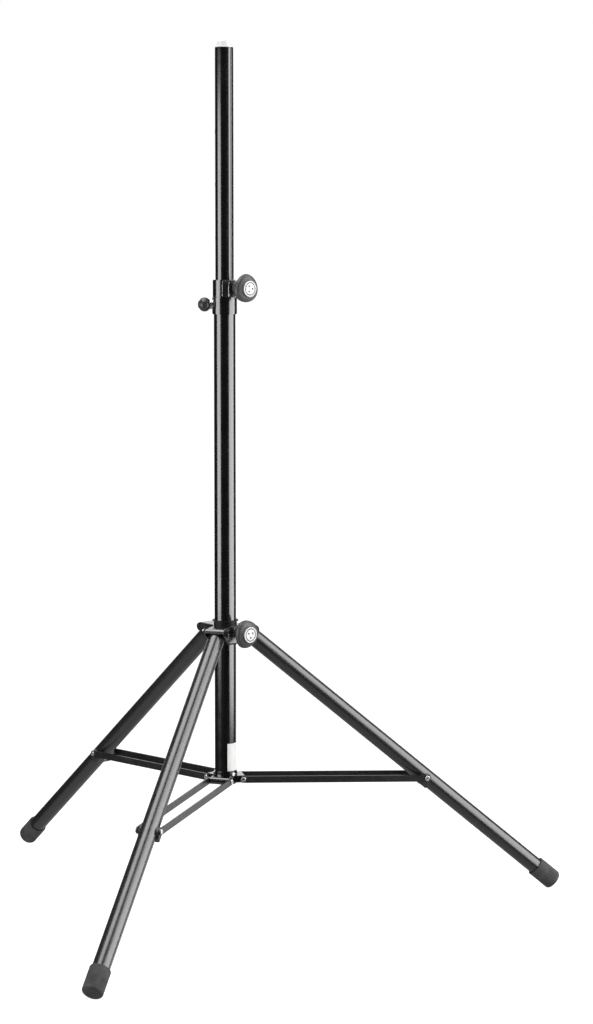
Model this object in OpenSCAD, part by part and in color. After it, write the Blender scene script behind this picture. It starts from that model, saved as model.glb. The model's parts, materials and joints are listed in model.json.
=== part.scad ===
// Tripod speaker stand: a telescopic mast on three folding legs.
// Origin: the mast's axis at the floor. +Z is up and the front leg points along -Y.
// Azimuths are counted from the front leg, towards +X.

/* [Mast] */
// Outer diameter of the fixed lower tube
mast_d = 41; // [40:0.5:42]
// Wall of the lower tube
mast_wall = 1.75; // [1.5:0.05:1.9]
// Height of the lower tube's bottom end above the floor
mast_bottom = 240; // [236:1:244]
// Height of the mouth of the clamp collar, where the pole comes out
collar_top = 1201; // [1150:1:1250]

/* [Pole] */
// Outer diameter of the pole that carries the speaker
pole_d = 35; // [35:0.1:35]
// Wall of the pole
pole_wall = 2; // [1.5:0.1:2.5]
// Length of the pole
pole_length = 1060; // [1000:5:1080]
// Length of pole standing out of the collar
pole_out = 435; // [400:5:460]
// Distance between the locking holes
hole_pitch = 100; // [80:5:120]

/* [Tripod] */
// Angle of the open legs from the vertical
leg_angle = 49.9; // [48:0.1:51]
// Outer diameter of the leg tubes
leg_d = 32; // [30:0.5:32]
// Distance from the leg's pivot to the end of its foot
leg_reach = 803; // [790:1:810]
// Distance of the leg pivots from the mast's axis
leg_pivot_r = 41; // [41:0.5:43]
// Distance along the leg from its pivot to the brace's pivot
brace_at = 459.5; // [450:0.5:465]
// Distance of the braces' inner pivots from the mast's axis
ring_r = 30.4; // [30:0.1:32]
// Height of the braces' inner pivots
ring_z = 246.7; // [246:0.1:248]
// Height of the flat brace bars
bar_h = 13; // [11:0.5:14]
// Thickness of the brace bars
bar_t = 3; // [2:0.25:3]

/* [Feet] */
// Outer diameter of the rubber feet
foot_d = 38.5; // [37:0.5:39]
// Length of the rubber feet
foot_length = 50; // [45:1:55]
// Radius of the foot's worn edge
foot_round = 6; // [4:0.5:8]

/* [Knobs] */
// Azimuth of both clamping knobs
knob_azimuth = 60; // [60:1:60]
// Largest radius of a knob's three lobes
knob_r = 26.5; // [24:0.5:28]
// Distance of a knob's face from the mast's axis
knob_face = 77; // [75:0.5:80]
// Diameter of the clamping screws
stud_d = 8; // [6:1:8]

/* [Hidden] */
$fn = 72;
LEGS = [["front", 0], ["right", 120], ["left", 240]];
play = 0.05;              // running clearance on a radius
gap = 0.35;               // clearance between parts that only pass each other
pivot_d = 8;              // leg pivot rivets
rivet_d = 6;              // brace rivets
rivet_head_d = 9.8;

// mast and collar
mast_id = mast_d - 2 * mast_wall;
mast_top = collar_top - 29;
collar_split = collar_top - 33;
clamp_d = 45;
sleeve_d = 47;
sleeve_bottom = collar_top - 65;
boss_r = 33.4;            // distance of a knob boss's face from the axis
boss_w = 35;
upper_knob_z = collar_top - 15.2;

// locking pin
pin_azimuth = 300;
pin_d = 6;
pin_z = (sleeve_bottom + collar_split) / 2 + 2.5;
pin_rest_r = pole_d / 2 + gap;
pin_shoulder = [22, 24.5];
housing_end = 40;
spring_d = 7.5;
spring_wire = 0.9;
spring_turns = 5;

// pole
pole_top = collar_top + pole_out;
pole_bottom = pole_top - pole_length;
pole_id = pole_d - 2 * pole_wall;
cap_d = pole_d - 1.6;
cap_h = 12.5;

// legs: the pivot's height follows from the lowest point of the foot touching the floor
leg_pivot_z = (leg_reach - foot_round) * cos(leg_angle)
    + (foot_d / 2 - foot_round) * sin(leg_angle) + foot_round;
leg_id = leg_d - 3;
head_centre = leg_d / 4;  // the head is rounded about this point on the leg's axis
brace_r = leg_pivot_r + brace_at * sin(leg_angle);
brace_z = leg_pivot_z - brace_at * cos(leg_angle);
brace_length = norm([brace_r - ring_r, brace_z - ring_z]);
brace_tilt = atan2(brace_z - ring_z, brace_r - ring_r);
saddle_w = 40;
bar_y = saddle_w / 2 + 0.5;

// hub
hub_w = 40;               // width over an arm's two cheeks
hub_cheek = 2.5;
hub_arm_r = 62;
hub_over = 14;            // top of the arms above the leg pivots
hub_under = 17.5;         // bottom of the hub below the leg pivots
hub_bush_d = 44;
hub_ring_d = 48;
hub_edge = 8;             // rounding of an arm's outer top edge
hub_shoulder = 6;         // rounding of an arm's long top edges
hub_knob_up = 3.4;        // hub knob's axis above the leg pivots
step = 0.4;               // a boss stands this much below the end faces of its ring

// bottom bracket
bracket_d = 45;
bracket_top = mast_bottom + 22;
lug_top = mast_bottom + 14;
lug_r = 37;
lug_w = 40;

black = [0.05, 0.05, 0.055];
satin_black = [0.09, 0.095, 0.1];
dark_grey = [0.2, 0.21, 0.22];
rubber_grey = [0.24, 0.25, 0.26];
zinc = [0.78, 0.79, 0.8];

// ---- helpers ----

// X points outwards at the given azimuth, Y along the tangent
module around(azimuth) {
    rotate([0, 0, azimuth - 90]) children();
}

// X points down along an open leg, from its pivot; Z is square to its upper side
module along_leg(azimuth) {
    around(azimuth) translate([leg_pivot_r, 0, leg_pivot_z])
        rotate([0, 90 - leg_angle, 0]) children();
}

// X points out along a brace, from its inner pivot
module along_brace(azimuth) {
    around(azimuth) translate([ring_r, 0, ring_z]) rotate([0, -brace_tilt, 0]) children();
}

// Round bar along X
module x_rod(d, from, to) {
    translate([from, 0, 0]) rotate([0, 90, 0]) cylinder(d = d, h = to - from);
}

// Round bar along Y
module y_rod(d, from, to) {
    translate([0, to, 0]) rotate([90, 0, 0]) cylinder(d = d, h = to - from);
}

module tube(d, bore, from, to) {
    difference() {
        translate([0, 0, from]) cylinder(d = d, h = to - from);
        translate([0, 0, from - 1]) cylinder(d = bore, h = to - from + 2);
    }
}

// Rectangle with true round corners, centred
module round_rect(w, h, r) {
    square([w - 2 * r, h], center = true);
    square([w, h - 2 * r], center = true);
    for (x = [-1, 1], y = [-1, 1])
        translate([x * (w / 2 - r), y * (h / 2 - r)]) circle(r = r);
}

// Block along X with rounded long edges
module x_block(from, to, w, h, r) {
    translate([from, 0, 0]) rotate([90, 0, 90]) linear_extrude(to - from) round_rect(w, h, r);
}

// Tubular rivet head standing on the plane Y = at, facing side (+1 or -1)
module rivet_head(at, side, d) {
    translate([0, at, 0]) rotate([-90 * side, 0, 0]) difference() {
        rotate_extrude() {
            square([d / 2 - 0.8, 1.6]);
            square([d / 2, 0.8]);
            translate([d / 2 - 0.8, 0.8]) circle(r = 0.8);
        }
        translate([0, 0, 0.6]) cylinder(d = d / 3, h = 3);
    }
}

// ---- clamping knobs: local X points out of the mast, at the knob's height ----

// Side view of a knob from its neck to the rim of its domed face
module knob_side() {
    rim = knob_face - 9;
    polygon([
        [0, boss_r + 2], [10.5, boss_r + 2], [11, 45], [17, 48.5],
        for (a = [0 : 10 : 90]) [knob_r - 8 + 8 * sin(a) * 1.0, rim - 4 - 8 * cos(a)],
        for (a = [0 : 10 : 90]) [knob_r - 11 + 11 * cos(a), rim - 4 + 11 * sin(a)],
        [0, knob_face - 2]
    ]);
}

module knob_grip() {
    difference() {
        rotate([0, 90, 0]) intersection() {
            rotate_extrude() knob_side();
            linear_extrude(knob_face + 1) intersection_for (i = [0:2])
                rotate(i * 120) translate([12, 0]) circle(r = 37.5);
        }
        x_rod(stud_d, boss_r, 60);
        x_rod(30.4, knob_face - 3.4, knob_face + 2);
    }
}

module knob_disc() {
    x_rod(30, knob_face - 3.4, knob_face - 1.6);
}

module knob_stud(tip) {
    x_rod(stud_d, tip, 60);
}

module knob_washer() {
    difference() {
        x_rod(20, boss_r + 0.4, boss_r + 1.9);
        x_rod(stud_d, boss_r, boss_r + 3);
    }
}

module clamp_nut() {
    difference() {
        translate([boss_r - 6.5, 0, 0]) rotate([0, 90, 0]) cylinder(d = 15, h = 6.3, $fn = 6);
        x_rod(stud_d + 2 * play, boss_r - 7, boss_r + 1);
    }
}

// Seat of the nut and of the pad behind it, cut out of a boss
module clamp_seat() {
    translate([boss_r - 6.5, 0, 0]) rotate([0, 90, 0]) cylinder(d = 15.1, h = 8, $fn = 6);
    x_rod(12.2, 0, boss_r - 6);
}

module pressure_pad(from) {
    x_rod(12, from, from + 4);
}

// ---- mast ----

module lower_tube() {
    color(black) difference() {
        tube(mast_d, mast_id, mast_bottom, mast_top);
        translate([0, 0, pin_z]) around(pin_azimuth) x_rod(pin_d + 2 * gap, 10, 30);
    }
}

module collar_sleeve() {
    color(black) difference() {
        union() {
            tube(sleeve_d, mast_d, sleeve_bottom + 1, collar_split - 0.5);
            tube(sleeve_d - 2, mast_d, sleeve_bottom, sleeve_bottom + 1);
        }
        translate([0, 0, pin_z]) around(pin_azimuth) x_rod(14, 18, 30);
    }
}

module collar_clamp() {
    color(black) difference() {
        union() {
            translate([0, 0, collar_split]) rotate([0, 0, 90])
                cylinder(d = clamp_d, h = collar_top - collar_split - 1);
            translate([0, 0, collar_top - 1]) cylinder(d = clamp_d - 2, h = 1);
            translate([0, 0, (collar_top + collar_split) / 2]) around(knob_azimuth)
                x_block(0, boss_r, boss_w, collar_top - collar_split - 2 * step, 3);
        }
        translate([0, 0, collar_split - 1]) cylinder(d = mast_d, h = collar_top - collar_split - 1.5);
        translate([0, 0, collar_split]) cylinder(d = pole_d + 1.6, h = 50);
        translate([0, 0, upper_knob_z]) around(knob_azimuth) clamp_seat();
    }
}

module guide_bush() {
    color(dark_grey) difference() {
        union() {
            translate([0, 0, mast_top]) cylinder(d = mast_d, h = collar_top - 2.5 - mast_top);
            translate([0, 0, sleeve_bottom - 16]) cylinder(d = mast_id, h = 60);
        }
        translate([0, 0, sleeve_bottom - 20]) cylinder(d = pole_d + 2 * play, h = 100);
        translate([0, 0, upper_knob_z]) around(knob_azimuth) x_rod(12.2, 10, 30);
        translate([0, 0, pin_z]) around(pin_azimuth) x_rod(pin_d + 2 * gap, 10, 30);
    }
}

module upper_clamp_nut() {
    color(zinc) translate([0, 0, upper_knob_z]) around(knob_azimuth) clamp_nut();
}

module upper_pressure_pad() {
    color(zinc) translate([0, 0, upper_knob_z]) around(knob_azimuth)
        pressure_pad(pole_d / 2 + gap);
}

module bottom_bracket() {
    color(black) difference() {
        union() {
            translate([0, 0, mast_bottom]) cylinder(d = bracket_d, h = bracket_top - mast_bottom - 1);
            translate([0, 0, bracket_top - 1]) cylinder(d = bracket_d - 2, h = 1);
            for (leg = LEGS)
                around(leg[1]) intersection() {
                    translate([0, 0, (mast_bottom + lug_top) / 2])
                        x_block(0, lug_r, lug_w, lug_top - mast_bottom, 3);
                    translate([0, lug_w, 0]) rotate([90, 0, 0]) linear_extrude(2 * lug_w)
                        translate([0, (mast_bottom + lug_top) / 2])
                            round_rect(2 * lug_r, lug_top - mast_bottom, 6.5);
                }
        }
        translate([0, 0, mast_bottom - 1]) cylinder(d = mast_d, h = 40);
        for (leg = LEGS) along_brace(leg[1]) y_rod(rivet_d, -30, 30);
        for (leg = LEGS)
            translate([0, 0, bracket_top - 4.5]) around(leg[1] + 60) x_rod(3.2, 0, 30);
    }
}

module bracket_screws() {
    color(zinc) for (leg = LEGS)
        translate([0, 0, bracket_top - 4.5]) around(leg[1] + 60) {
            x_rod(3.2, mast_d / 2, bracket_d / 2);
            difference() {
                x_rod(6, bracket_d / 2, bracket_d / 2 + 1.6);
                translate([bracket_d / 2 + 0.8, 0, 0]) rotate([0, 90, 0])
                    cylinder(d = 2.8, h = 2, $fn = 6);
            }
        }
}

module brace_pivot_pins() {
    color(zinc) for (leg = LEGS) along_brace(leg[1]) {
        head_at = bar_y + bar_t + 0.2;
        y_rod(rivet_d, -head_at, head_at);
        for (side = [-1, 1]) rivet_head(side * head_at, side, rivet_head_d);
    }
}

module mast_end_plug() {
    color(dark_grey) {
        translate([0, 0, mast_bottom - 3]) cylinder(d = mast_d, h = 3);
        translate([0, 0, mast_bottom]) cylinder(d = mast_id, h = 12);
    }
}

module blank_label() {
    half_angle = 48;
    color([0.92, 0.92, 0.9]) around(78) rotate([0, 0, -half_angle])
        rotate_extrude(angle = 2 * half_angle)
            translate([mast_d / 2, bracket_top + 1.5]) square([0.25, 53]);
}

// ---- locking pin ----

module at_pin() {
    translate([0, 0, pin_z]) around(pin_azimuth) children();
}

module lock_pin_housing() {
    color(zinc) at_pin() difference() {
        union() {
            x_rod(14, mast_d / 2 + 0.1, sleeve_d / 2 + 0.3);
            translate([sleeve_d / 2 + 0.3, 0, 0]) rotate([0, 90, 0]) cylinder(d = 18, h = 4.5, $fn = 6);
            x_rod(12, 25, housing_end);
        }
        x_rod(9.2, 21.6, housing_end - 1.5);
        x_rod(pin_d + 2 * play, 15, housing_end + 1);
    }
}

function helix(turn, ring) =
    let (a = 360 * turn, r = spring_d / 2 + spring_wire / 2 * cos(ring))
        [pin_shoulder[1] + 0.6 + spring_wire / 2 * sin(ring)
            + turn / spring_turns * (housing_end - 2.7 - pin_shoulder[1]),
         r * cos(a), r * sin(a)];

module lock_pin_spring() {
    sides = 8;
    rings = spring_turns * 14 + 1;
    points = [for (i = [0 : rings - 1], j = [0 : sides - 1]) helix(i / 14, -j * 360 / sides)];
    faces = [
        [for (j = [0 : sides - 1]) sides - 1 - j],
        [for (j = [0 : sides - 1]) (rings - 1) * sides + j],
        for (i = [0 : rings - 2], j = [0 : sides - 1])
            let (k = (j + 1) % sides)
                [i * sides + j, i * sides + k, (i + 1) * sides + k, (i + 1) * sides + j]
    ];
    color(zinc) at_pin() polyhedron(points, faces);
}

module lock_pin_plunger() {
    color(zinc) at_pin() {
        x_rod(pin_d, pin_rest_r, 46);
        x_rod(8.8, pin_shoulder[0], pin_shoulder[1]);
    }
}

module lock_pin_grip() {
    color(satin_black) at_pin() difference() {
        rotate([0, 90, 0]) rotate_extrude() polygon([
            [6.6, 29.5], [9.5, 29.5],
            for (a = [-50 : 10 : 65]) [4.5 + 8 * cos(a), 40 + 9.5 * sin(a)],
            [0, 50]
        ]);
        x_rod(13, 29, housing_end + 1);
        x_rod(pin_d, 30, 46);
        x_rod(11.1, 48.8, 52);
    }
}

module lock_pin_end_disc() {
    color(dark_grey) at_pin() x_rod(11, 48.8, 50.4);
}

// ---- pole ----

module pole_tube() {
    ring_mark = collar_top + 0.3;
    color(black) difference() {
        union() {
            tube(pole_d, pole_id, pole_bottom, pole_top - 1);
            tube(pole_d - 1.4, pole_id, pole_top - 1, pole_top);
        }
        // ring mark at the middle working height
        difference() {
            translate([0, 0, ring_mark]) cylinder(d = pole_d + 2, h = 1.3);
            translate([0, 0, ring_mark - 1]) cylinder(d = pole_d - 0.6, h = 4);
        }
        // two fine grooves along the extruded tube
        for (a = [46.5, 65])
            around(a) translate([pole_d / 2 - 0.4, -0.6, pole_bottom - 1])
                cube([2, 1.2, pole_length + 2]);
        // locking holes
        for (k = [-5 : 3])
            translate([0, 0, pin_z + 25 + k * hole_pitch]) around(pin_azimuth) x_rod(8, 10, 30);
    }
}

module pole_cap() {
    color([0.85, 0.87, 0.88]) translate([0, 0, pole_top]) {
        rotate_extrude() polygon([
            [0, 0], [cap_d / 2, 0], [cap_d / 2, 2.5],
            for (a = [0 : 9 : 90]) [cap_d / 2 - 10 + 10 * cos(a), 2.5 + (cap_h - 2.5) * sin(a)]
        ]);
        translate([0, 0, -20]) cylinder(d = pole_id, h = 20);
    }
}

module pole_glide() {
    color(dark_grey) {
        translate([0, 0, pole_bottom - 15]) cylinder(d = mast_id - 2 * play, h = 15);
        translate([0, 0, pole_bottom]) cylinder(d = pole_id, h = 24);
    }
}

// ---- knobs ----

module at_upper_knob() {
    translate([0, 0, upper_knob_z]) around(knob_azimuth) children();
}

module at_hub_knob() {
    translate([0, 0, leg_pivot_z + hub_knob_up]) around(knob_azimuth) children();
}

module upper_knob_grip() {
    color(dark_grey) at_upper_knob() knob_grip();
}

module upper_knob_disc() {
    color("white") at_upper_knob() knob_disc();
}

module upper_knob_stud() {
    color(zinc) at_upper_knob() knob_stud(pole_d / 2 + 2 * gap + 4);
}

module upper_knob_washer() {
    color(zinc) at_upper_knob() knob_washer();
}

module hub_knob_grip() {
    color(dark_grey) at_hub_knob() knob_grip();
}

module hub_knob_disc() {
    color("white") at_hub_knob() knob_disc();
}

module hub_knob_stud() {
    color(zinc) at_hub_knob() knob_stud(mast_d / 2 + 2 * gap + 4);
}

module hub_knob_washer() {
    color(zinc) at_hub_knob() knob_washer();
}

// ---- hub ----

// Side view of an arm: rounded outer top edge, and an outer end cut square to the open leg
module arm_side() {
    bottom = step - hub_under;
    polygon([[0, bottom], [36, bottom], [hub_arm_r, 4], [hub_arm_r, 6],
        [hub_arm_r - hub_edge, hub_over], [0, hub_over]]);
    translate([hub_arm_r - hub_edge, hub_over - hub_edge]) circle(r = hub_edge);
}

module arm() {
    inner_w = hub_w - 2 * hub_cheek;
    difference() {
        intersection() {
            translate([0, hub_w, 0]) rotate([90, 0, 0]) linear_extrude(2 * hub_w) arm_side();
            translate([0, 0, hub_over - 30]) x_block(0, hub_arm_r + 1, hub_w, 60, hub_shoulder);
        }
        // room for the leg's head, under a web that follows the outer edge
        translate([0, inner_w / 2, 0]) rotate([90, 0, 0]) linear_extrude(inner_w) {
            translate([0, -50]) square([hub_arm_r - hub_edge, 50 + hub_over - hub_cheek]);
            translate([hub_arm_r - hub_edge, hub_over - hub_edge]) circle(r = hub_edge - hub_cheek);
            translate([0, -50]) square([hub_arm_r + 1, 50 + hub_over - hub_edge]);
        }
    }
}

module hub_bracket() {
    height = hub_over + hub_under;
    color(black) translate([0, 0, leg_pivot_z]) difference() {
        union() {
            translate([0, 0, -hub_under]) rotate([0, 0, 90])
                cylinder(d = hub_ring_d, h = height - step);
            for (leg = LEGS) around(leg[1]) arm();
            around(knob_azimuth) translate([0, 0, hub_over - height / 2])
                x_block(0, boss_r, boss_w, height - 4 * step, 3);
        }
        translate([0, 0, -hub_under - 1]) cylinder(d = hub_bush_d, h = height + 2);
        for (leg = LEGS) around(leg[1]) translate([leg_pivot_r, 0, 0]) y_rod(pivot_d, -30, 30);
        translate([0, 0, hub_knob_up]) around(knob_azimuth) clamp_seat();
    }
}

module hub_bush() {
    flange_d = 49.6;
    color(dark_grey) translate([0, 0, leg_pivot_z]) difference() {
        union() {
            translate([0, 0, -hub_under]) cylinder(d = hub_bush_d, h = hub_under + 22);
            translate([0, 0, 22]) cylinder(d = flange_d, h = 1.6);
            translate([0, 0, -hub_under - 4]) cylinder(d = flange_d, h = 4);
        }
        translate([0, 0, -hub_under - 5]) cylinder(d = mast_d + 2 * play, h = 60);
        translate([0, 0, hub_knob_up]) around(knob_azimuth) x_rod(12.2, 10, 30);
    }
}

module hub_clamp_nut() {
    color(zinc) at_hub_knob() clamp_nut();
}

module hub_pressure_pad() {
    color(zinc) at_hub_knob() pressure_pad(mast_d / 2 + gap);
}

module leg_pivot_rivets() {
    color(zinc) for (leg = LEGS)
        translate([0, 0, leg_pivot_z]) around(leg[1]) translate([leg_pivot_r, 0, 0]) {
            y_rod(pivot_d, -hub_w / 2, hub_w / 2);
            for (side = [-1, 1]) rivet_head(side * hub_w / 2, side, 11);
        }
}

// ---- legs ----

module leg_tube(azimuth) {
    end = leg_reach - 8;
    color(satin_black) along_leg(azimuth) difference() {
        x_rod(leg_d, head_centre, end);
        x_rod(leg_id, head_centre - 1, end + 1);
    }
}

module leg_head(azimuth) {
    color(black) along_leg(azimuth) difference() {
        union() {
            intersection() {
                x_rod(leg_d, -leg_d, head_centre);
                union() {
                    translate([head_centre, 0, 0]) y_rod(leg_d, -leg_d, leg_d);
                    translate([head_centre, -leg_d, -leg_d / 2]) cube([leg_d, 2 * leg_d, leg_d]);
                }
            }
            x_rod(leg_id, head_centre, head_centre + 34);
            y_rod(15, -hub_w / 2 + hub_cheek + 0.3, hub_w / 2 - hub_cheek - 0.3);
        }
        y_rod(pivot_d + 2 * play, -30, 30);
    }
}

module leg_saddle(azimuth) {
    under = leg_d / 2 + 1.8;
    over = 8;
    color(black) along_leg(azimuth) translate([brace_at, 0, 0]) difference() {
        intersection() {
            translate([0, 0, (over - under) / 2]) x_block(-14, 12, saddle_w, over + under, 5);
            translate([0, saddle_w, 0]) rotate([90, 0, 0]) linear_extrude(2 * saddle_w)
                union() {
                    translate([-1, -under / 2 - 2]) round_rect(26, under - 4, 3);
                    circle(r = over);
                    translate([-8, -9]) square([16, 9]);
                }
        }
        x_rod(leg_d, -30, 30);
        y_rod(rivet_d, -30, 30);
    }
}

module leg_rivet(azimuth) {
    seat = leg_d / 2 + 1.8;
    color(zinc) along_leg(azimuth) translate([brace_at - 2, 0, 0]) rotate([180, 0, 0]) {
        translate([0, 0, seat]) rotate_extrude() polygon([
            [0, 0], [4.2, 0], for (a = [0 : 15 : 90]) [1 + 3 * cos(a), 0.2 + 1.5 * sin(a)], [0, 1.7]
        ]);
    }
}

module leg_foot(azimuth) {
    start = leg_reach - foot_length;
    r = foot_d / 2;
    color(rubber_grey) along_leg(azimuth) difference() {
        rotate([0, 90, 0]) rotate_extrude() union() {
            translate([0, start]) square([r - 1, foot_length]);
            translate([0, start + 1]) square([r, foot_length - 1 - foot_round]);
            translate([r - foot_round, leg_reach - foot_round]) circle(r = foot_round);
            translate([0, start]) square([r - foot_round, foot_length]);
            translate([r - 1, start + 1]) circle(r = 1);
        }
        x_rod(leg_d, start - 1, leg_reach - 8);
    }
}

// ---- braces ----

module brace_bar(azimuth, side) {
    inner = side > 0 ? bar_y : -bar_y - bar_t;
    color(satin_black) along_brace(azimuth) difference() {
        union() {
            y_rod(bar_h, inner, inner + bar_t);
            translate([brace_length, 0, 0]) y_rod(bar_h, inner, inner + bar_t);
            translate([0, inner, -bar_h / 2]) cube([brace_length, bar_t, bar_h]);
        }
        y_rod(rivet_d + 2 * play, -30, 30);
        translate([brace_length, 0, 0]) y_rod(rivet_d, -30, 30);
    }
}

// The outer rivets end short of the leg's saddle
module brace_rivets(azimuth) {
    color(zinc) along_brace(azimuth) translate([brace_length, 0, 0])
        for (side = [-1, 1]) {
            outer = side * (bar_y + bar_t);
            inner = side * (bar_y - 0.2);
            y_rod(rivet_d, min(inner, outer), max(inner, outer));
            rivet_head(outer, side, rivet_head_d);
        }
}

lower_tube();
collar_sleeve();
collar_clamp();
guide_bush();
upper_clamp_nut();
upper_pressure_pad();
lock_pin_housing();
lock_pin_spring();
bottom_bracket();
bracket_screws();
brace_pivot_pins();
mast_end_plug();
blank_label();
pole_tube();
pole_cap();
pole_glide();
upper_knob_grip();
upper_knob_disc();
upper_knob_stud();
upper_knob_washer();
lock_pin_plunger();
lock_pin_grip();
lock_pin_end_disc();
hub_bracket();
hub_bush();
hub_clamp_nut();
hub_pressure_pad();
leg_pivot_rivets();
hub_knob_grip();
hub_knob_disc();
hub_knob_stud();
hub_knob_washer();
for (leg = LEGS) {
    leg_tube(leg[1]);
    leg_head(leg[1]);
    leg_saddle(leg[1]);
    leg_rivet(leg[1]);
    leg_foot(leg[1]);
    brace_bar(leg[1], -1);
    brace_bar(leg[1], 1);
    brace_rivets(leg[1]);
}
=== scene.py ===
"""Looks of the tripod speaker stand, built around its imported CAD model. Lengths are in metres; the
outlines of turned pieces are in millimetres."""

import json
import math

import bmesh
import bpy
from mathutils import Matrix, Vector


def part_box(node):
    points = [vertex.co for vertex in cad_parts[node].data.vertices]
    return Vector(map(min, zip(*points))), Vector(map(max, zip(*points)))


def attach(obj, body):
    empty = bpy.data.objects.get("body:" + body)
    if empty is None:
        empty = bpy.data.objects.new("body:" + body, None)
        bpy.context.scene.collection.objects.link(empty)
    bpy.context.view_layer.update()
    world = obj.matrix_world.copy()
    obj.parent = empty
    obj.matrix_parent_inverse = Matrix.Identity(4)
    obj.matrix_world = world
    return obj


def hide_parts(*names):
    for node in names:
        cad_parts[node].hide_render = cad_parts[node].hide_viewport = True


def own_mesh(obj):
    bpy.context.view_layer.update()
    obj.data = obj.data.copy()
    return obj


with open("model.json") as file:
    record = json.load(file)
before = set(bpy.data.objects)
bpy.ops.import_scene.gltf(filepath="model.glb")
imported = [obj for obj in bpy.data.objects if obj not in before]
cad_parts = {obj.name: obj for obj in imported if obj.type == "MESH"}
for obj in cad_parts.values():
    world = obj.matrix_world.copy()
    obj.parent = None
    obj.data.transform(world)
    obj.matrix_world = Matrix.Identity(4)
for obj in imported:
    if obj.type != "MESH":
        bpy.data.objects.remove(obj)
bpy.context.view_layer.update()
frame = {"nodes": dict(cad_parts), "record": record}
record = frame["record"]
NODES = frame["nodes"]
SLOT_OF = {part["node"]: part["material_slot"] for part in record["subparts"]}
BODY_OF = {n: body for body, names in record["behaviour"]["bodies"].items() for n in names}
LEGS = {"front": 0, "right": 120, "left": 240}
MM = 0.001
UP = Vector((0, 0, 1))

# Dimensions shared with the CAD model. Angles are in degrees, and an azimuth counts from the front
# leg towards the right one.
LEG_ANGLE = 49.9
LEG_PIVOT_R = 41 * MM
LEG_REACH = 803 * MM
FOOT_LENGTH = 50 * MM
FOOT_R = 19.25 * MM
FOOT_ROUND = 6 * MM
LEG_R = 16 * MM
KNOB_AZIMUTH = 60
KNOB_FACE = 77 * MM
KNOB_NECK = 35.4 * MM
PIN_AZIMUTH = 300
COLLAR_R = 22.5 * MM
BOSS_FACE = 33.4 * MM
BOSS_HALF = 17.5 * MM
GROOVES = (46.5, 65.0)

# How the pressed and cast pieces' edges are rounded
SHARP_ANGLE = math.radians(34)
BEVEL_SEGMENTS = 3


# ---- materials ----

class Shader:
    """A small wrapper that adds nodes to one material and links them."""

    def __init__(self, name):
        self.material = bpy.data.materials.new(name)
        self.material.use_nodes = True
        self.tree = self.material.node_tree
        self.bsdf = self.tree.nodes["Principled BSDF"]
        self.coords = self.add("ShaderNodeTexCoord").outputs["Object"]
        self.bump = None

    def add(self, kind, **values):
        node = self.tree.nodes.new(kind)
        for key, value in values.items():
            setattr(node, key, value)
        return node

    def link(self, a, b):
        self.tree.links.new(a, b)

    def noise(self, scale, detail=3.0, roughness=0.5):
        node = self.add("ShaderNodeTexNoise")
        node.inputs["Scale"].default_value = scale
        node.inputs["Detail"].default_value = detail
        node.inputs["Roughness"].default_value = roughness
        self.link(self.coords, node.inputs["Vector"])
        return node.outputs["Fac"]

    def cells(self, scale):
        node = self.add("ShaderNodeTexVoronoi")
        node.inputs["Scale"].default_value = scale
        self.link(self.coords, node.inputs["Vector"])
        return node.outputs["Distance"]

    def ramp(self, fac, *stops):
        node = self.add("ShaderNodeValToRGB")
        elements = node.color_ramp.elements
        while len(elements) < len(stops):
            elements.new(0.5)
        for element, (at, colour) in zip(elements, stops):
            element.position = at
            if not hasattr(colour, "__len__"):
                colour = (colour, colour, colour)
            element.color = (*colour, 1)
        self.link(fac, node.inputs["Fac"])
        return node.outputs["Color"]

    def mix(self, fac, a, b):
        node = self.add("ShaderNodeMix", data_type="RGBA")
        self.link(fac, node.inputs["Factor"])
        self.link(a, node.inputs[6])
        self.link(b, node.inputs[7])
        return node.outputs[2]

    def maths(self, operation, a, b):
        """A math node; a and b are numbers or other nodes' outputs."""
        node = self.add("ShaderNodeMath", operation=operation)
        for socket, value in zip(node.inputs, (a, b)):
            if isinstance(value, float):
                socket.default_value = value
            else:
                self.link(value, socket)
        return node.outputs[0]

    def relief(self, height, depth, strength):
        node = self.add("ShaderNodeBump")
        node.inputs["Strength"].default_value = strength
        node.inputs["Distance"].default_value = depth
        self.link(height, node.inputs["Height"])
        if self.bump:
            self.link(self.bump, node.inputs["Normal"])
        self.bump = node.outputs["Normal"]

    def done(self, colour, roughness, **values):
        self.link(colour, self.bsdf.inputs["Base Color"])
        self.link(roughness, self.bsdf.inputs["Roughness"])
        if self.bump:
            self.link(self.bump, self.bsdf.inputs["Normal"])
        for key, value in values.items():
            self.bsdf.inputs[key].default_value = value
        return self.material


def tint(value, blue=1.04):
    """A near-neutral colour, slightly cool."""
    return (value, value * (1 + (blue - 1) / 2), value * blue)


def gloss_black():
    """Gloss black lacquer: soft orange peel, faint haze and a few fine specks."""
    s = Shader("gloss_black")
    haze = s.noise(14, 4)
    specks = s.noise(900, 2)
    colour = s.mix(s.ramp(specks, (0.70, 0.0), (0.78, 1.0)),
                   s.ramp(haze, (0.3, tint(0.0012)), (0.7, tint(0.0028))),
                   s.ramp(haze, (0.0, tint(0.012)), (1.0, tint(0.022))))
    s.relief(s.noise(260, 2), 0.00003, 0.3)
    return s.done(colour, s.ramp(s.noise(45, 4), (0.3, 0.17), (0.7, 0.24)),
                  **{"Specular IOR Level": 0.8, "Coat Weight": 0.8, "Coat Roughness": 0.12})


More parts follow.
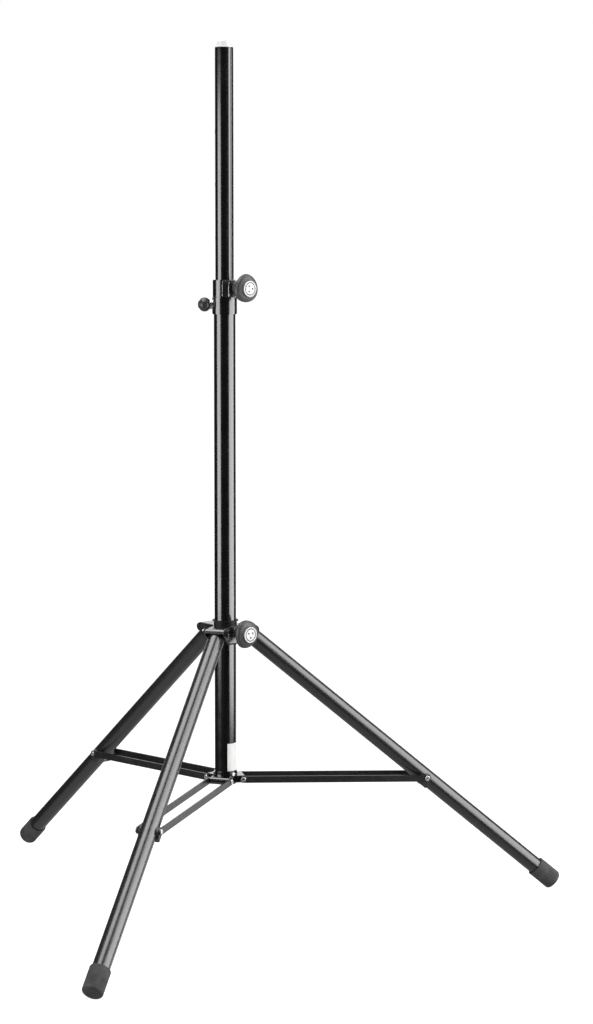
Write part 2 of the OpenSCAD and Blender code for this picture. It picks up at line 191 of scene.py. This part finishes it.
def pole_black():
    """The mast's gloss black, dull along the two fine grooves that run down the pole."""
    s = Shader("pole_black")
    haze = s.noise(15, 4)
    axes = s.add("ShaderNodeSeparateXYZ")
    s.link(s.coords, axes.inputs[0])
    azimuth = s.maths("ARCTAN2", axes.outputs["X"], s.maths("MULTIPLY", axes.outputs["Y"], -1.0))
    away = None
    for groove in GROOVES:
        gap = s.maths("ABSOLUTE", s.maths("SUBTRACT", azimuth, math.radians(groove)), 0.0)
        away = gap if away is None else s.maths("MINIMUM", away, gap)
    shine = s.ramp(s.maths("MULTIPLY", away, 10.0), (0.30, 0.0), (0.62, 1.0))
    colour = s.mix(shine, s.ramp(haze, (0.0, tint(0.006)), (1.0, tint(0.009))),
                   s.ramp(haze, (0.3, tint(0.0012)), (0.7, tint(0.0028))))
    s.relief(s.noise(250, 2), 0.00003, 0.3)
    s.link(s.maths("MULTIPLY", shine, 0.8), s.bsdf.inputs["Specular IOR Level"])
    s.link(s.maths("MULTIPLY", shine, 0.8), s.bsdf.inputs["Coat Weight"])
    return s.done(colour, s.ramp(s.noise(45, 4), (0.3, 0.17), (0.7, 0.24)),
                  **{"Coat Roughness": 0.12})


def hub_satin():
    """Black lacquer over thick pressed steel: satin, with a broad soft shine."""
    s = Shader("hub_satin")
    colour = s.mix(s.noise(240, 3), s.ramp(s.noise(16, 3), (0.3, tint(0.003)), (0.7, tint(0.005))),
                   s.ramp(s.noise(50, 3), (0.3, tint(0.006)), (0.7, tint(0.010))))
    s.relief(s.noise(420, 3), 0.00007, 0.4)
    return s.done(colour, s.ramp(s.noise(70, 4), (0.3, 0.22), (0.7, 0.28)),
                  **{"Specular IOR Level": 1.0, "Coat Weight": 0.5, "Coat Roughness": 0.22})


def leg_black():
    """Fine-textured semi-matt powder coat."""
    s = Shader("leg_black")
    colour = s.mix(s.noise(700, 3), s.ramp(s.noise(9, 3), (0.3, tint(0.004)), (0.7, tint(0.006))),
                   s.ramp(s.noise(30, 3), (0.3, tint(0.008)), (0.7, tint(0.012))))
    s.relief(s.noise(1500, 3, 0.6), 0.00003, 0.3)
    return s.done(colour, s.ramp(s.noise(120, 4), (0.3, 0.25), (0.7, 0.33)),
                  **{"Specular IOR Level": 0.8, "Coat Weight": 0.4, "Coat Roughness": 0.26})


def brace_black():
    """Satin dark paint on flat bars, a little lighter where it has rubbed."""
    s = Shader("brace_black")
    rub = s.ramp(s.noise(22, 5, 0.65), (0.52, 0.0), (0.72, 0.6))
    colour = s.mix(rub, s.ramp(s.noise(60, 3), (0.3, tint(0.004)), (0.7, tint(0.007))),
                   s.ramp(s.noise(300, 3), (0.3, tint(0.012)), (0.7, tint(0.018))))
    s.relief(s.noise(900, 3), 0.00007, 0.4)
    return s.done(colour, s.ramp(s.noise(80, 4), (0.3, 0.30), (0.7, 0.38)),
                  **{"Specular IOR Level": 0.8})


def black_plastic():
    """Moulded black plastic with a light spark-eroded grain."""
    s = Shader("black_plastic")
    colour = s.mix(s.noise(500, 2), s.ramp(s.noise(25, 3), (0.3, tint(0.010)), (0.7, tint(0.015))),
                   s.ramp(s.noise(60, 3), (0.3, tint(0.017)), (0.7, tint(0.024))))
    s.relief(s.cells(1600), 0.00006, 0.4)
    return s.done(colour, s.ramp(s.noise(140, 3), (0.3, 0.34), (0.7, 0.44)),
                  **{"Specular IOR Level": 0.55})


def bush_plastic():
    """Dull black nylon of the guide bushes."""
    s = Shader("bush_plastic")
    colour = s.mix(s.noise(420, 2), s.ramp(s.noise(20, 3), (0.3, tint(0.004)), (0.7, tint(0.006))),
                   s.ramp(s.noise(70, 3), (0.3, tint(0.007)), (0.7, tint(0.010))))
    s.relief(s.cells(1400), 0.00005, 0.4)
    return s.done(colour, s.ramp(s.noise(110, 3), (0.3, 0.48), (0.7, 0.58)),
                  **{"Specular IOR Level": 0.25})


def knob_plastic():
    """Mid-dark grey plastic with a fine soft-touch grain."""
    s = Shader("knob_plastic")
    grain = s.noise(1700, 3, 0.6)
    colour = s.mix(grain, s.ramp(s.noise(35, 3), (0.3, tint(0.020)), (0.7, tint(0.028))),
                   s.ramp(s.noise(90, 3), (0.3, tint(0.034)), (0.7, tint(0.046))))
    s.relief(grain, 0.00014, 0.6)
    s.relief(s.noise(420, 2), 0.0001, 0.25)
    return s.done(colour, s.ramp(s.noise(160, 3), (0.3, 0.42), (0.7, 0.52)),
                  **{"Specular IOR Level": 0.6})


def rubber():
    """Dark grey rubber with a dull bloom."""
    s = Shader("rubber")
    bloom = s.ramp(s.noise(38, 5, 0.6), (0.42, 0.0), (0.75, 0.8))
    colour = s.mix(bloom, s.ramp(s.noise(400, 3), (0.3, tint(0.022)), (0.7, tint(0.032))),
                   s.ramp(s.noise(250, 3), (0.3, tint(0.045, 1.0)), (0.7, tint(0.062, 1.0))))
    s.relief(s.noise(1100, 3, 0.6), 0.00012, 0.5)
    return s.done(colour, s.ramp(s.noise(90, 4), (0.3, 0.58), (0.7, 0.76)),
                  **{"Specular IOR Level": 0.4})


def zinc():
    """Bright zinc plate with fine spangle and turning marks."""
    s = Shader("zinc")
    colour = s.mix(s.noise(160, 4), s.ramp(s.cells(500), (0.1, tint(0.78)), (0.8, tint(0.88))),
                   s.ramp(s.noise(700, 2), (0.3, tint(0.66)), (0.7, tint(0.80))))
    s.relief(s.noise(1200, 2), 0.00005, 0.4)
    return s.done(colour, s.ramp(s.noise(260, 4), (0.3, 0.28), (0.7, 0.42)), Metallic=1.0)


def brass():
    """Plain turned brass."""
    s = Shader("brass")
    colour = s.mix(s.noise(90, 4),
                   s.ramp(s.noise(500, 2), (0.3, (0.62, 0.42, 0.17)), (0.7, (0.7, 0.5, 0.22))),
                   s.ramp(s.noise(40, 2), (0.3, (0.45, 0.3, 0.12)), (0.7, (0.55, 0.38, 0.16))))
    s.relief(s.noise(1500, 2), 0.00003, 0.4)
    return s.done(colour, s.ramp(s.noise(200, 3), (0.3, 0.25), (0.7, 0.38)), Metallic=1.0)


def white_plastic():
    """Smooth white plastic, very slightly mottled."""
    s = Shader("white_plastic")
    colour = s.mix(s.noise(300, 3),
                   s.ramp(s.noise(60, 3), (0.3, tint(0.46, 0.99)), (0.7, tint(0.54, 0.99))),
                   s.ramp(s.noise(30, 3), (0.3, tint(0.40, 0.98)), (0.7, tint(0.48, 0.98))))
    s.relief(s.noise(600, 2), 0.00003, 0.3)
    return s.done(colour, s.ramp(s.noise(120, 3), (0.3, 0.26), (0.7, 0.36)),
                  **{"Specular IOR Level": 0.5})


def cap_plastic():
    """Milky grey-white plastic of the pole's end cap."""
    s = Shader("cap_plastic")
    colour = s.mix(s.noise(120, 3), s.ramp(s.noise(50, 3), (0.3, tint(0.36)), (0.7, tint(0.44))),
                   s.ramp(s.noise(80, 3), (0.3, tint(0.44)), (0.7, tint(0.54))))
    s.relief(s.noise(500, 2), 0.00005, 0.3)
    return s.done(colour, s.ramp(s.noise(150, 3), (0.3, 0.3), (0.7, 0.42)),
                  **{"Specular IOR Level": 0.5})


def label():
    """Matt white film, slightly fibrous, with faint creases."""
    s = Shader("label")
    colour = s.mix(s.noise(600, 4),
                   s.ramp(s.noise(30, 3), (0.3, (0.52, 0.52, 0.51)), (0.7, (0.58, 0.58, 0.57))),
                   s.ramp(s.noise(18, 3), (0.3, (0.46, 0.46, 0.45)), (0.7, (0.55, 0.55, 0.54))))
    s.relief(s.noise(1200, 3), 0.00004, 0.4)
    s.relief(s.noise(70, 2), 0.0004, 0.3)
    return s.done(colour, s.ramp(s.noise(200, 3), (0.3, 0.45), (0.7, 0.6)),
                  **{"Specular IOR Level": 0.4})


def emblem_grey():
    """Grey inlay of the knobs' end discs."""
    s = Shader("emblem_grey")
    colour = s.mix(s.noise(400, 3), s.ramp(s.noise(60, 3), (0.3, tint(0.030)), (0.7, tint(0.042))),
                   s.ramp(s.noise(90, 3), (0.3, tint(0.045)), (0.7, tint(0.060))))
    s.relief(s.noise(900, 2), 0.00004, 0.3)
    return s.done(colour, s.ramp(s.noise(150, 3), (0.3, 0.35), (0.7, 0.5)))


MATERIALS = {make.__name__: make() for make in (
    gloss_black, pole_black, hub_satin, leg_black, brace_black, black_plastic, bush_plastic,
    knob_plastic, rubber, zinc, brass, white_plastic, cap_plastic, label, emblem_grey)}


def paint(obj, slot):
    obj.data.materials.clear()
    obj.data.materials.append(MATERIALS[slot])


for node_name, node in NODES.items():
    paint(node, SLOT_OF[node_name])
paint(NODES["pole_tube"], "pole_black")


# ---- mesh helpers ----

def add_object(name, mesh):
    obj = bpy.data.objects.new(name, mesh)
    bpy.context.scene.collection.objects.link(obj)
    return obj


def mounted(obj, node, slot=None, replaces=True):
    """Gives a piece the material of the CAD node's slot, or of another slot, and the body of the CAD
    node it stands for.
    """
    slot = slot or SLOT_OF[node]
    paint(obj, slot)
    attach(obj, BODY_OF[node])
    if replaces:
        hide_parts(node)
    return obj


def smooth(mesh, angle):
    for polygon in mesh.polygons:
        polygon.use_smooth = True
    mesh.set_sharp_from_angle(angle=angle)


def mid_height(node):
    low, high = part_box(node)
    return (low.z + high.z) / 2


def frame_at(origin, forward, side):
    """A matrix whose X points along forward and whose Y lies towards side."""
    x = forward.normalized()
    y = (side - side.dot(x) * x).normalized()
    z = x.cross(y)
    matrix = Matrix((x, y, z)).transposed().to_4x4()
    matrix.translation = origin
    return matrix


def outward(azimuth):
    a = math.radians(azimuth)
    return Vector((math.sin(a), -math.cos(a), 0))


def tangent(azimuth):
    return outward(azimuth + 90)


def revolve(name, profile, place, segments=96, shape=None, angle=32):
    """A closed turned piece about X. profile holds (along, radius) points in millimetres from end
    to end; shape(along, radius, turn), in metres, may change a point's radius."""
    vertices, rings = [], []
    for x, r in profile:
        x, r = x * MM, r * MM
        if r <= 0:
            rings.append([len(vertices)])
            vertices.append((x, 0, 0))
            continue
        rings.append([len(vertices) + i for i in range(segments)])
        for i in range(segments):
            turn = 2 * math.pi * i / segments
            radius = shape(x, r, turn) if shape else r
            vertices.append((x, radius * math.cos(turn), radius * math.sin(turn)))
    faces = []
    for a, b in zip(rings, rings[1:]):
        for i in range(segments):
            j = (i + 1) % segments
            corners = [a[i % len(a)], a[j % len(a)], b[j % len(b)], b[i % len(b)]]
            faces.append(list(dict.fromkeys(corners)))
    mesh = bpy.data.meshes.new(name)
    mesh.from_pydata(vertices, [], faces)
    mesh.transform(place)
    work = bmesh.new()
    work.from_mesh(mesh)
    bmesh.ops.recalc_face_normals(work, faces=work.faces)
    work.to_mesh(mesh)
    work.free()
    smooth(mesh, math.radians(angle))
    return add_object(name, mesh)


def dressed(node, width, slot=None):
    """Replaces a CAD node by the same shape with its hard edges rounded, so that they catch light."""
    mesh = NODES[node].data.copy()
    work = bmesh.new()
    work.from_mesh(mesh)
    bmesh.ops.remove_doubles(work, verts=work.verts, dist=2e-6)
    bmesh.ops.dissolve_limit(work, angle_limit=math.radians(0.6), verts=work.verts,
                             edges=work.edges, delimit=set())
    work.to_mesh(mesh)
    work.free()
    obj = add_object(node + "_skin", mesh)
    bevel = obj.modifiers.new("bevel", "BEVEL")
    bevel.width = width
    bevel.segments = BEVEL_SEGMENTS
    bevel.limit_method = "ANGLE"
    bevel.angle_limit = SHARP_ANGLE
    bevel.use_clamp_overlap = True
    obj.modifiers.new("normals", "WEIGHTED_NORMAL").keep_sharp = True
    smooth(mesh, SHARP_ANGLE)
    baked = bpy.data.meshes.new_from_object(
        obj.evaluated_get(bpy.context.evaluated_depsgraph_get()))
    obj.modifiers.clear()
    obj.data = baked
    return mounted(obj, node, slot)


# ---- pressed and moulded pieces with rounded edges ----

for node, width in (("collar_clamp", 1.6), ("collar_sleeve", 1.7),
                    ("bottom_bracket", 0.9), ("mast_end_plug", 0.6),
                    ("lock_pin_housing", 0.4), ("bracket_screws", 0.25),
                    ("upper_clamp_nut", 0.4), ("hub_clamp_nut", 0.4)):
    dressed(node, width * MM)
dressed("hub_bracket", 1.6 * MM, "hub_satin")
dressed("hub_bush", 0.4 * MM, "bush_plastic")
for leg in LEGS:
    dressed(f"leg_{leg}_saddle", 0.9 * MM)
    dressed(f"leg_{leg}_head", 0.6 * MM)
    for side in "ab":
        dressed(f"brace_{leg}_bar_{side}", 0.45 * MM)


# ---- clamping knobs ----

def knob_lobes(along, radius, turn):
    """Three soft lobes in the grip, deepest behind the rim and gone at neck and face. depth gives
    their share of the radius at some distances from the neck, in millimetres."""
    depth = {0: 0.0, 8: 0.02, 13: 0.06, 20: 0.12, 27: 0.075, 33: 0.05, 38: 0.02, 42: 0.0}
    at = (along - KNOB_NECK) / MM
    keys = sorted(depth)
    low = max([k for k in keys if k <= at] or [keys[0]])
    high = min([k for k in keys if k > at] or [keys[-1]])
    share = (at - low) / (high - low) if high > low else 0
    amount = depth[low] + (depth[high] - depth[low]) * share
    return radius * (1 - amount * (0.5 + 0.5 * math.cos(3 * turn)) ** 0.9)


def add_grip(prefix, place):
    """The hand grip: a slender neck that swells to a wide rim round a hollow face."""
    neck, face = KNOB_NECK / MM, KNOB_FACE / MM
    side = [(neck, 0), (neck, 9.4), (neck + 0.6, 10.4), (neck + 5, 10.7), (neck + 9, 11.2)]
    side += [(neck + 9 + 11 * t / 10, 11.2 + 11.8 * (t / 10) ** 1.7) for t in range(1, 11)]
    side += [(neck + 22, 25.2), (neck + 24, 26.7), (neck + 26, 27.4), (neck + 28, 27.4),
             (neck + 30, 26.8), (neck + 31.5, 25.9)]
    side += [(neck + 32.2, 25.2), (neck + 32.6, 24.5), (neck + 32.3, 24.1)]
    side += [(face - 3.6 - 5.2 * (r / 24.1) ** 2.2, r) for r in
             (23.6, 22.5, 21, 19.5, 18, 17, 16.4)]
    side += [(face - 3.0, 15.9), (face - 2.6, 15.5), (face - 2.8, 15.2), (face - 3.6, 15.15),
             (face - 3.6, 0)]
    mounted(revolve(prefix + "_grip_moulding", side, place, 144, knob_lobes, 40), prefix + "_grip")


def add_disc(prefix, place):
    """A plain end disc: raised rim, sunk grey ring and centre button with three dots."""
    node = prefix + "_disc"
    face = KNOB_FACE / MM
    top = face - 1.6
    disc = [(face - 3.5, 0), (face - 3.5, 15.0), (top - 0.3, 15.0), (top, 14.7), (top, 13.9),
            (top - 0.3, 13.6), (top - 0.3, 9.9), (top - 0.15, 9.7), (top - 0.1, 0)]
    mounted(revolve(node + "_turned", disc, place), node)
    ring = [(top - 0.5, 10.6), (top - 0.24, 10.6), (top - 0.2, 10.8), (top - 0.2, 12.4),
            (top - 0.24, 12.6), (top - 0.5, 12.6), (top - 0.5, 10.6)]
    mounted(revolve(node + "_ring", ring, place), node, "emblem_grey", replaces=False)
    dot = [(top - 0.3, 0), (top - 0.3, 1.9), (top + 0.05, 1.9), (top + 0.12, 1.75),
           (top + 0.12, 0)]
    for i in range(3):
        turn = math.radians(90 + 120 * i)
        offset = Vector((0, math.cos(turn), math.sin(turn))) * 5.6 * MM
        piece = revolve(f"{node}_dot_{i}", dot, place @ Matrix.Translation(offset), 32)
        mounted(piece, node, "emblem_grey", replaces=False)


def add_knob(prefix, turned):
    """A clamping knob, turned about its own axis by some degrees at rest."""
    centre = UP * mid_height(prefix + "_disc")
    place = frame_at(centre, outward(KNOB_AZIMUTH), tangent(KNOB_AZIMUTH))
    place = place @ Matrix.Rotation(math.radians(turned), 4, "X")
    add_grip(prefix, place)
    add_disc(prefix, place)


add_knob("upper_knob", 30)
add_knob("hub_knob", 60)


# ---- feet ----

def foot_ribs(along, radius, turn):
    """Fine lengthways ribs on the lower half of a foot."""
    start, end = LEG_REACH - 29 * MM, LEG_REACH - 5 * MM
    fade = min(1, max(0, (along - start) / (2 * MM))) * min(1, max(0, (end - along) / (3 * MM)))
    wave = 0.5 + 0.5 * math.cos(48 * turn)
    return radius - 0.75 * MM * fade * (1 - wave ** 0.6)


def add_foot(leg, azimuth):
    """A rubber foot round the end of a leg: a grooved collar, a ribbed sleeve and a round tip."""
    pivot = outward(azimuth) * LEG_PIVOT_R
    pivot.z = mid_height("leg_pivot_rivets")
    a = math.radians(LEG_ANGLE)
    down = outward(azimuth) * math.sin(a) - Vector((0, 0, math.cos(a)))
    place = frame_at(pivot, down, tangent(azimuth))
    start, end, r = (LEG_REACH - FOOT_LENGTH) / MM, LEG_REACH / MM, FOOT_R / MM
    inner = LEG_R / MM + 0.02
    side = [(start + 2.5, inner), (start + 0.5, inner), (start, inner + 0.5), (start, r - 1.0),
            (start + 0.3, r - 0.3), (start + 1.0, r), (start + 3.0, r), (start + 3.4, r - 0.35),
            (start + 4.2, r - 0.35), (start + 4.6, r)]
    side += [(start + 5 + 16 * t, r) for t in (0, 0.5, 0.97)]
    side += [(end - 28.6, r), (end - 28.2, r - 0.1)]
    side += [(end - 28 + 22 * t / 14, r) for t in range(15)]
    rounded = FOOT_ROUND / MM
    side += [(end - rounded + rounded * math.sin(math.radians(t)),
              r - rounded + rounded * math.cos(math.radians(t))) for t in range(10, 91, 10)]
    side += [(end, 9.0), (end - 0.8, 8.6), (end - 0.8, 6.2), (end, 5.8), (end, 3.2),
             (end - 0.8, 2.8), (end - 0.8, 0)]
    side.insert(0, (side[0][0], 0))
    foot = revolve(f"leg_{leg}_foot_ribbed", side, place, 288, foot_ribs, 40)
    mounted(foot, f"leg_{leg}_foot")


for leg, azimuth in LEGS.items():
    add_foot(leg, azimuth)


# ---- bright ends of the leg pivots' rivets ----

def add_rivet_ends(leg, azimuth):
    """A small bright dimple in the middle of each of the two heads."""
    middle = outward(azimuth) * LEG_PIVOT_R
    middle.z = mid_height("leg_pivot_rivets")
    along = tangent(azimuth)
    pin = NODES["leg_pivot_rivets"]
    points = [pin.matrix_world @ v.co - middle for v in pin.data.vertices]
    reach = max(p.dot(along) for p in points if abs(p.dot(outward(azimuth))) < 12 * MM
                and p.dot(along) < 40 * MM)
    dot = [(-1.0, 0), (-1.0, 2.2), (0.05, 2.2), (0.5, 2.0), (0.9, 1.5), (1.15, 0.8), (1.2, 0)]
    for end, way in (("a", 1), ("b", -1)):
        place = frame_at(middle + along * way * reach, along * way, UP)
        piece = revolve(f"leg_pivot_{leg}_end_{end}", dot, place, 48)
        mounted(piece, "leg_pivot_rivets", "zinc", replaces=False)


for leg, azimuth in LEGS.items():
    add_rivet_ends(leg, azimuth)


# ---- bright zinc strips down the collar boss's edges, painted highlights ----

def add_edge_highlight_strip(end, radial, sideways, radius):
    """A fine bright zinc strip down an edge of the boss: a painted highlight along that edge."""
    low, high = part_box("collar_clamp")
    inset = 2.5 * MM
    foot = outward(KNOB_AZIMUTH) * radial - tangent(KNOB_AZIMUTH) * sideways
    foot.z = low.z + inset
    length = (high.z - low.z - 2 * inset) / MM
    rod = [(0, 0), (0.2, 0.7 * radius), (0.6, radius), (length - 0.6, radius),
           (length - 0.2, 0.7 * radius), (length, 0)]
    piece = revolve(f"collar_edge_{end}", rod, frame_at(foot, UP, outward(KNOB_AZIMUTH)), 24)
    # The zinc strip paints the edge's highlight; it is not bare metal showing through the lacquer.
    mounted(piece, "collar_clamp", "zinc", replaces=False)


boss_root = math.sqrt(COLLAR_R ** 2 - BOSS_HALF ** 2)
add_edge_highlight_strip("front", BOSS_FACE - 0.55 * MM, BOSS_HALF - 0.55 * MM, 0.62)
add_edge_highlight_strip("root", boss_root + 0.15 * MM, BOSS_HALF + 0.05 * MM, 0.36)


# ---- pole cap and locking pin ----

def add_pole_cap():
    """A flanged cap with a low tapered dome and a shallow dimple on top."""
    pole_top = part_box("pole_tube")[1].z
    height = (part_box("pole_cap")[1].z - pole_top) / MM
    dome = [(-19, 0), (-19, 15.2), (0.02, 15.3), (0.02, 16.2), (0.4, 16.6), (1.6, 16.6),
            (2.2, 16.0), (2.5, 15.2), (2.7, 14.9)]
    dome += [(height - 3 + 3 * math.sin(math.radians(t)), 9.4 + 3 * math.cos(math.radians(t)))
             for t in range(10, 91, 10)]
    dome += [(height, 3), (height - 0.3, 2.4), (height - 0.3, 0)]
    place = frame_at(UP * pole_top, UP, outward(90))
    mounted(revolve("pole_cap_dome", dome, place, 128), "pole_cap")


def pin_flutes(along, radius, turn):
    """Shallow flutes round the ball of the locking pin's grip."""
    fade = math.exp(-((along - 38.6 * MM) / (5 * MM)) ** 2)
    return radius * (1 - 0.035 * fade * (0.5 + 0.5 * math.cos(8 * turn)))


def add_pin_grip():
    """The locking pin's ball grip and the small button in its end."""
    place = frame_at(pin_centre, outward(PIN_AZIMUTH), tangent(PIN_AZIMUTH))
    ball = [(29.6, 0), (29.6, 8.4), (29.6, 9.6), (29.9, 10.4)]
    ball += [(38.4 + 9.6 * math.sin(math.radians(t)), 5.1 + 8.7 * math.cos(math.radians(t)))
             for t in range(-58, 72, 6)]
    ball += [(49.2, 6.9), (49.4, 6.3), (49.0, 5.7), (48.6, 0)]
    mounted(revolve("lock_pin_grip_ball", ball, place, 96, pin_flutes, 45), "lock_pin_grip")
    button = [(48.7, 0), (48.7, 5.4), (49.8, 5.4), (50.2, 5.1), (50.4, 4.6), (50.4, 3.4),
              (50.1, 3.1), (50.1, 0)]
    mounted(revolve("lock_pin_end_button", button, place, 64), "lock_pin_end_disc")


def add_spring():
    """The locking pin's spring, copied from the CAD and mounted on the spring's body."""
    node = NODES["lock_pin_spring"]
    coil = add_object("lock_pin_spring_coil", node.data.copy())
    coil.matrix_world = node.matrix_world
    mounted(coil, "lock_pin_spring")
    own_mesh(coil)


pin_centre = UP * mid_height("lock_pin_end_disc")
add_pole_cap()
add_pin_grip()
add_spring()


# ---- camera, floor and light ----

CAMERA_AZIMUTH = 20.36
CAMERA_DISTANCE = 5.1109
CAMERA_HEIGHT = 1.3885
CAMERA_YAW = -1.522
CAMERA_PITCH = 4.91
CAMERA_LENS = 95.15
CAMERA_SENSOR = 36
CAMERA_SHIFT = -99.65 / 1024

camera = bpy.data.objects.new("camera", bpy.data.cameras.new("camera"))
bpy.context.scene.collection.objects.link(camera)
camera.data.lens = CAMERA_LENS
camera.data.sensor_width = CAMERA_SENSOR
camera.data.shift_y = CAMERA_SHIFT
camera.data.clip_end = 200
bpy.context.scene.camera = camera
aim = math.radians(CAMERA_AZIMUTH + CAMERA_YAW)
pitch = math.radians(CAMERA_PITCH)
level = Vector((-math.sin(aim), math.cos(aim), 0))
forward = level * math.cos(pitch) - UP * math.sin(pitch)
right = Vector((math.cos(aim), math.sin(aim), 0))
camera.matrix_world = Matrix((right, right.cross(forward), -forward)).transposed().to_4x4()
camera.location = outward(CAMERA_AZIMUTH) * CAMERA_DISTANCE + UP * CAMERA_HEIGHT


def add_floor():
    mesh = bpy.data.meshes.new("floor")
    half = 80
    mesh.from_pydata([(-half, -half, 0), (half, -half, 0), (half, half, 0), (-half, half, 0)],
                     [], [(0, 1, 2, 3)])
    floor = add_object("floor", mesh)
    material = bpy.data.materials.new("pale_floor")
    material.use_nodes = True
    shader = material.node_tree.nodes["Principled BSDF"]
    shader.inputs["Base Color"].default_value = (0.2, 0.2, 0.2, 1)
    shader.inputs["Roughness"].default_value = 1
    shader.inputs["Specular IOR Level"].default_value = 0
    shader.inputs["Emission Color"].default_value = (1, 1, 1, 1)
    shader.inputs["Emission Strength"].default_value = 1.0
    mesh.materials.append(material)
    floor.visible_glossy = False


def add_softbox(name, azimuth, distance, lift, width, height, radiance, target):
    """A soft light that faces the mast at height target. Its azimuth counts from the camera to the
    camera's right."""
    data = bpy.data.lights.new(name, "AREA")
    data.shape = "RECTANGLE"
    data.size, data.size_y = width, height
    data.energy = radiance * math.pi * width * height
    light = bpy.data.objects.new(name, data)
    bpy.context.scene.collection.objects.link(light)
    light.location = outward(CAMERA_AZIMUTH + azimuth) * distance + UP * lift
    light.rotation_mode = "QUATERNION"
    towards = Vector((0, 0, target)) - light.location
    light.rotation_quaternion = towards.to_track_quat("-Z", "Y")
    light.visible_camera = False


# Strengths of the surroundings, as seen by the eye, by matt surfaces and in reflections
WHITE = 1.0
FILL = 0.15
STUDIO_DARK = 0.02
BACKDROP = 1.2
FLOOR = 0.38
FLOOR_RIGHT = 1.3


def add_world():
    """White to the eye; in reflections a dark studio with a light backdrop behind the stand, over
    a floor that is brightest behind it on the right."""
    world = bpy.data.worlds.new("studio")
    bpy.context.scene.world = world
    world.use_nodes = True
    nodes, links = world.node_tree.nodes, world.node_tree.links
    nodes.clear()

    def background(strength):
        node = nodes.new("ShaderNodeBackground")
        node.inputs["Color"].default_value = (1, 1, 1, 1)
        node.inputs["Strength"].default_value = strength
        return node.outputs[0]

    def choose(fac, a, b):
        node = nodes.new("ShaderNodeMixShader")
        links.new(fac, node.inputs[0])
        links.new(a, node.inputs[1])
        links.new(b, node.inputs[2])
        return node.outputs[0]

    def step(towards, start, end):
        """0 to 1 as a ray's direction turns towards a vector, between two cosines."""
        dot = nodes.new("ShaderNodeVectorMath")
        dot.operation = "DOT_PRODUCT"
        dot.inputs[1].default_value = towards
        links.new(ray.outputs["Generated"], dot.inputs[0])
        blend = nodes.new("ShaderNodeMapRange")
        blend.interpolation_type = "SMOOTHSTEP"
        blend.inputs["From Min"].default_value = start
        blend.inputs["From Max"].default_value = end
        links.new(dot.outputs["Value"], blend.inputs["Value"])
        return blend.outputs["Result"]

    path = nodes.new("ShaderNodeLightPath").outputs
    ray = nodes.new("ShaderNodeTexCoord")
    out = nodes.new("ShaderNodeOutputWorld")
    backdrop = (UP * 0.36 - outward(CAMERA_AZIMUTH)).normalized()
    floor_right = (outward(CAMERA_AZIMUTH + 140) - UP * 0.47).normalized()
    mirrored = choose(step(backdrop, 0.83, 0.93), background(STUDIO_DARK), background(BACKDROP))
    mirrored = choose(step(-UP, 0.28, 0.62), mirrored, background(FLOOR))
    mirrored = choose(step(floor_right, 0.94, 0.98), mirrored, background(FLOOR_RIGHT))
    lit = choose(path["Is Glossy Ray"], background(FILL), mirrored)
    links.new(choose(path["Is Camera Ray"], lit, background(WHITE)), out.inputs["Surface"])


add_floor()
add_world()
add_softbox("softbox_right", azimuth=75, distance=2.3, lift=1.2,
            width=2.6, height=2.6, radiance=4.8, target=1.2)
add_softbox("softbox_left", azimuth=-67, distance=2.3, lift=0.86,
            width=1.7, height=1.5, radiance=4.6, target=0.86)
add_softbox("softbox_top", azimuth=-90, distance=0.8, lift=3.2,
            width=2.9, height=1.9, radiance=4.8, target=0.0)
add_softbox("softbox_top_right", azimuth=90, distance=1.85, lift=3.0,
            width=2.6, height=1.2, radiance=4.4, target=0.0)
bpy.context.scene.view_settings.view_transform = "Standard"
